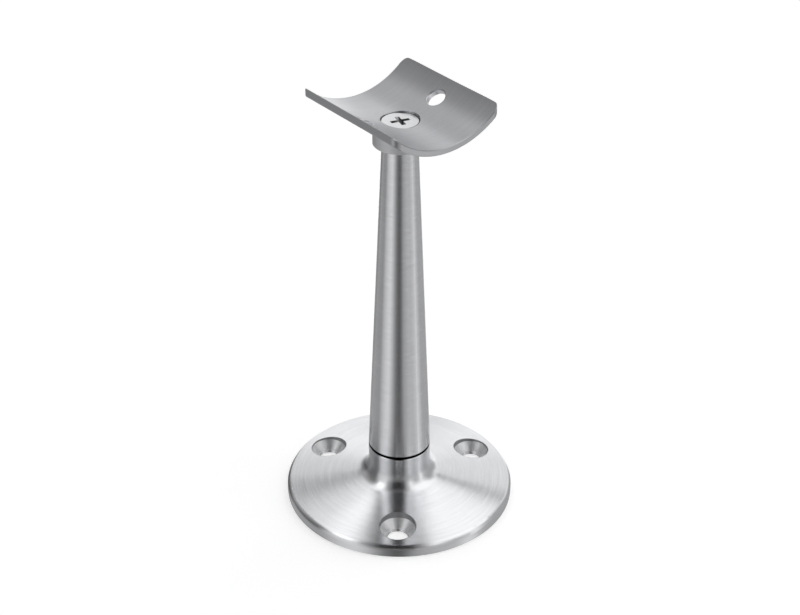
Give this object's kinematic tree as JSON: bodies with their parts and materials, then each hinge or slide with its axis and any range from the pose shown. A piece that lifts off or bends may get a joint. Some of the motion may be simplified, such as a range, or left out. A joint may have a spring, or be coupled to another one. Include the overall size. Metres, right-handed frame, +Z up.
{
  "type": "handrail saddle post",
  "caption": "Turned floor flange with a tapered round post that carries a curved saddle plate for a round handrail.",
  "frame": {"origin": "centre of the flange's flat underside, on the axis of the post", "axes": "+Z up along the post, +X along the handrail, +Y across it"},
  "size_m": [0.1, 0.1, 0.1906],
  "materials": {
    "turned_stainless": "turned and satin brushed round the axis",
    "plate_stainless": "fine matt satin, cut from tube",
    "screw_stainless": "bright, as cold formed"
  },
  "bodies": {
    "root": {"base_flange": "turned_stainless", "post": "turned_stainless", "base_bolt": "screw_stainless", "lock_washer": "screw_stainless", "saddle_boss": "turned_stainless", "saddle": "plate_stainless", "saddle_screw": "screw_stainless"}
  },
  "joints": []
}
